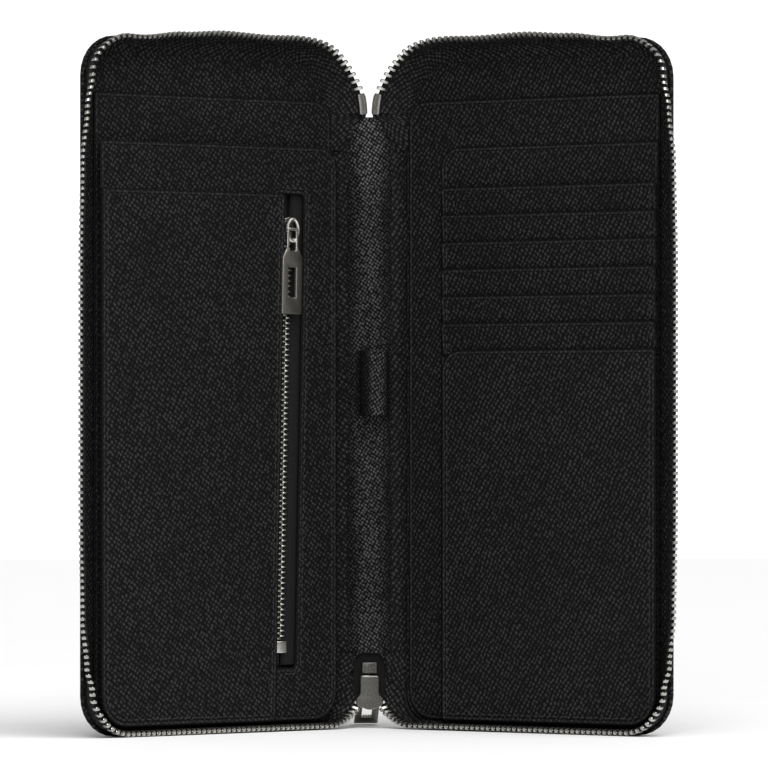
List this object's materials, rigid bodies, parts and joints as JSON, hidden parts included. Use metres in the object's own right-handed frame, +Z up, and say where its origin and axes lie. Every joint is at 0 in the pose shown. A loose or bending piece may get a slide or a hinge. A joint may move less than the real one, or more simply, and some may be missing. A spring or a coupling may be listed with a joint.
{
  "type": "travel document organizer",
  "caption": "Zip-round travel wallet standing open like a book, with slip pockets, a zipped pocket, card slots and a pen loop on the spine.",
  "frame": {"origin": "centre of the box's footprint, on the surface that the lower cover edges stand on", "axes": "+Z up along the spine, -Y towards the open inside, +X to the right as seen from inside"},
  "size_m": [0.2048, 0.102, 0.2432],
  "materials": {
    "outer_leather": "cross-grained black leather, satin",
    "pocket_leather": "cross-grained black leather, satin",
    "spine_lining": "soft pebbled black leather, slight sheen",
    "board": "fibre board, hidden",
    "pocket_fabric": "plain woven black lining",
    "zip_tape": "tight black herringbone tape",
    "gunmetal": "dark gunmetal, polished edges",
    "zip_teeth": "gunmetal with rubbed bright heads"
  },
  "bodies": {
    "spine": {"spine_leather": "outer_leather", "spine_stiffener": "board", "spine_lining": "spine_lining", "pen_loop": "pocket_leather", "left_fold": "outer_leather", "right_fold": "outer_leather", "main_zip_end_teeth_left": "zip_teeth", "main_zip_end_teeth_right": "zip_teeth", "main_zip_tail_left": "zip_tape", "main_zip_tail_right": "zip_tape", "main_zip_bottom_stop": "gunmetal"},
    "left_cover": {"left_cover_leather": "outer_leather", "left_cover_board": "board", "left_cover_lining": "pocket_leather", "left_zip_tape": "zip_tape", "left_zip_teeth": "zip_teeth", "left_zip_top_stop": "gunmetal", "left_slip_pocket": "pocket_leather", "zip_pocket_lining": "pocket_fabric", "zip_pocket_front": "pocket_leather", "passport_pocket": "pocket_leather", "pocket_zip_teeth_outer": "zip_teeth", "pocket_zip_teeth_inner": "zip_teeth", "pocket_zip_tape_outer": "zip_tape", "pocket_zip_tape_inner": "zip_tape", "pocket_zip_bottom_stop": "gunmetal"},
    "right_cover": {"right_cover_leather": "outer_leather", "right_cover_board": "board", "right_cover_lining": "pocket_leather", "right_zip_tape": "zip_tape", "right_zip_teeth": "zip_teeth", "right_zip_top_stop": "gunmetal", "right_slip_pocket": "pocket_leather", "card_panel": "pocket_leather", "card_slot_1": "pocket_leather", "card_slot_2": "pocket_leather", "card_slot_3": "pocket_leather", "card_slot_4": "pocket_leather", "card_slot_5": "pocket_leather", "card_slot_6": "pocket_leather", "card_slot_tails": "pocket_fabric", "lower_pocket": "pocket_leather"},
    "main_slider": {"main_zip_slider": "gunmetal"},
    "main_pull": {"main_zip_pull": "gunmetal"},
    "pocket_slider": {"pocket_zip_slider": "gunmetal"},
    "pocket_pull": {"pocket_zip_pull": "gunmetal"}
  },
  "joints": [
    {"name": "left_cover_hinge", "type": "hinge", "parent": "spine", "child": "left_cover", "pos_m": [-0.0105, 0.02513, 0], "axis": [0, 0, 1], "range_deg": [-36, 54]},
    {"name": "right_cover_hinge", "type": "hinge", "parent": "spine", "child": "right_cover", "pos_m": [0.0105, 0.02513, 0], "axis": [0, 0, -1], "range_deg": [-36, 54]},
    {"name": "main_slider_slide", "type": "slide", "parent": "spine", "child": "main_slider", "axis": [0, 0, -1], "range_m": [0, 0.004]},
    {"name": "main_pull_hinge", "type": "hinge", "parent": "main_slider", "child": "main_pull", "pos_m": [0, 0.02583, 0.0125], "axis": [1, 0, 0], "range_deg": [-60, 95]},
    {"name": "pocket_slider_slide", "type": "slide", "parent": "left_cover", "child": "pocket_slider", "axis": [-0.0184, -0.0133, -0.9997], "range_m": [0, 0.138]},
    {"name": "pocket_pull_hinge", "type": "hinge", "parent": "pocket_slider", "child": "pocket_pull", "pos_m": [-0.02769, 0.00285, 0.17498], "axis": [-0.8088, -0.5876, 0.0227], "range_deg": [0, 175]}
  ]
}
